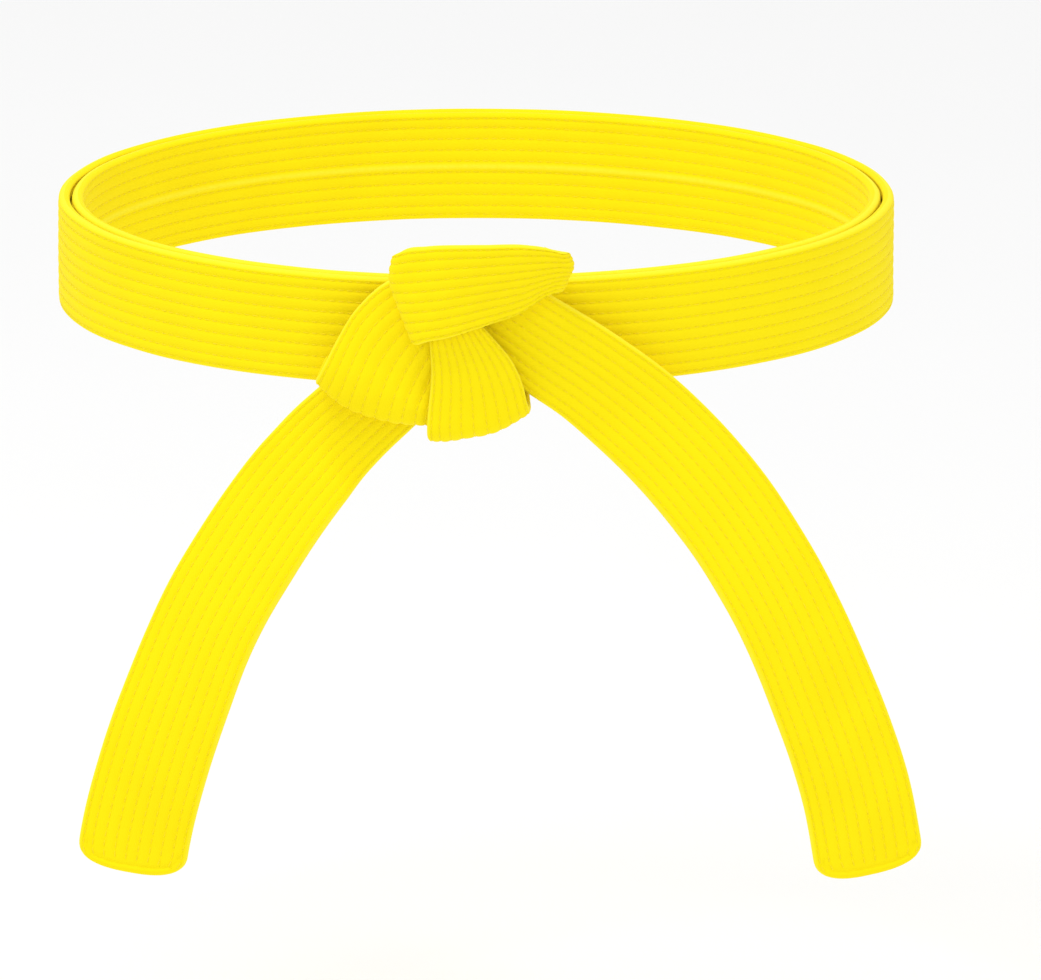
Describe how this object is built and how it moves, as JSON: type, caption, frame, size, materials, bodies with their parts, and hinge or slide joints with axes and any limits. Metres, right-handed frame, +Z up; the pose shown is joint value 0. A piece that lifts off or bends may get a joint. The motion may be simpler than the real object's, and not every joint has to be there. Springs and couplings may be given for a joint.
{
  "type": "martial arts belt",
  "caption": "Padded cotton martial arts belt wrapped twice round an oval waist loop and tied in a flat front knot, with both ends hanging.",
  "frame": {"origin": "centre of the waist loop at mid height of its band", "axes": "+Z up along the waist loop's axis, -Y towards the front where the knot is, +X to the right of someone looking at the knot"},
  "size_m": [0.3117, 0.2683, 0.2369],
  "materials": {
    "cotton_cover": "matt woven cotton drill, dyed yellow",
    "cotton_batting": "undyed cotton batting, hidden in the cover"
  },
  "bodies": {
    "waist_loop": {"inner_lap_core": "cotton_batting", "inner_lap_cover": "cotton_cover", "knot_left_wrap_core": "cotton_batting", "knot_left_wrap_cover": "cotton_cover", "knot_lower_wrap_core": "cotton_batting", "knot_lower_wrap_cover": "cotton_cover", "knot_top_wrap_core": "cotton_batting", "knot_top_wrap_cover": "cotton_cover", "left_tail_root_core": "cotton_batting", "left_tail_root_cover": "cotton_cover", "outer_lap_core": "cotton_batting", "outer_lap_cover": "cotton_cover", "right_tail_root_core": "cotton_batting", "right_tail_root_cover": "cotton_cover"},
    "left_tail_1": {"left_tail_1_cover": "cotton_cover", "left_tail_1_core": "cotton_batting"},
    "left_tail_2": {"left_tail_2_cover": "cotton_cover", "left_tail_2_core": "cotton_batting"},
    "left_tail_3": {"left_tail_3_cover": "cotton_cover", "left_tail_3_core": "cotton_batting"},
    "left_tail_4": {"left_tail_4_cover": "cotton_cover", "left_tail_4_core": "cotton_batting"},
    "right_tail_1": {"right_tail_1_cover": "cotton_cover", "right_tail_1_core": "cotton_batting"},
    "right_tail_2": {"right_tail_2_cover": "cotton_cover", "right_tail_2_core": "cotton_batting"},
    "right_tail_3": {"right_tail_3_cover": "cotton_cover", "right_tail_3_core": "cotton_batting"},
    "right_tail_4": {"right_tail_4_cover": "cotton_cover", "right_tail_4_core": "cotton_batting"}
  },
  "joints": [
    {"name": "left_tail_1_bend", "type": "hinge", "parent": "waist_loop", "child": "left_tail_1", "pos_m": [-0.04841, -0.11843, -0.03704], "axis": [-0.7245, 0.0966, 0.6824], "range_deg": [0, 45], "stiffness_Nm_per_rad": 0.05, "springref_deg": 1.07},
    {"name": "left_tail_2_bend", "type": "hinge", "parent": "left_tail_1", "child": "left_tail_2", "pos_m": [-0.07663, -0.12307, -0.0718], "axis": [-0.7736, 0.4602, 0.4356], "range_deg": [-20, 35], "stiffness_Nm_per_rad": 0.05, "springref_deg": 1.33},
    {"name": "left_tail_3_bend", "type": "hinge", "parent": "left_tail_2", "child": "left_tail_3", "pos_m": [-0.09891, -0.13119, -0.11005], "axis": [-0.8571, 0.4131, 0.3077], "range_deg": [-20, 35], "stiffness_Nm_per_rad": 0.05, "springref_deg": 0.44},
    {"name": "left_tail_4_bend", "type": "hinge", "parent": "left_tail_3", "child": "left_tail_4", "pos_m": [-0.11457, -0.13652, -0.15197], "axis": [-0.9311, 0.2435, 0.2715], "range_deg": [-20, 35], "stiffness_Nm_per_rad": 0.05, "springref_deg": 0.06},
    {"name": "right_tail_1_bend", "type": "hinge", "parent": "waist_loop", "child": "right_tail_1", "pos_m": [0.03011, -0.12638, -0.00669], "axis": [-0.5685, -0.0222, -0.8224], "range_deg": [0, 45], "stiffness_Nm_per_rad": 0.05, "springref_deg": 0.46},
    {"name": "right_tail_2_bend", "type": "hinge", "parent": "right_tail_1", "child": "right_tail_2", "pos_m": [0.073, -0.12403, -0.04378], "axis": [-0.6831, -0.4185, -0.5985], "range_deg": [-20, 35], "stiffness_Nm_per_rad": 0.05, "springref_deg": 2.06},
    {"name": "right_tail_3_bend", "type": "hinge", "parent": "right_tail_2", "child": "right_tail_3", "pos_m": [0.10615, -0.13036, -0.08955], "axis": [-0.8044, -0.4557, -0.381], "range_deg": [-20, 35], "stiffness_Nm_per_rad": 0.05, "springref_deg": 0.84},
    {"name": "right_tail_4_bend", "type": "hinge", "parent": "right_tail_3", "child": "right_tail_4", "pos_m": [0.1291, -0.1368, -0.14122], "axis": [-0.8957, -0.3269, -0.3015], "range_deg": [-20, 35], "stiffness_Nm_per_rad": 0.05, "springref_deg": 0.11}
  ]
}
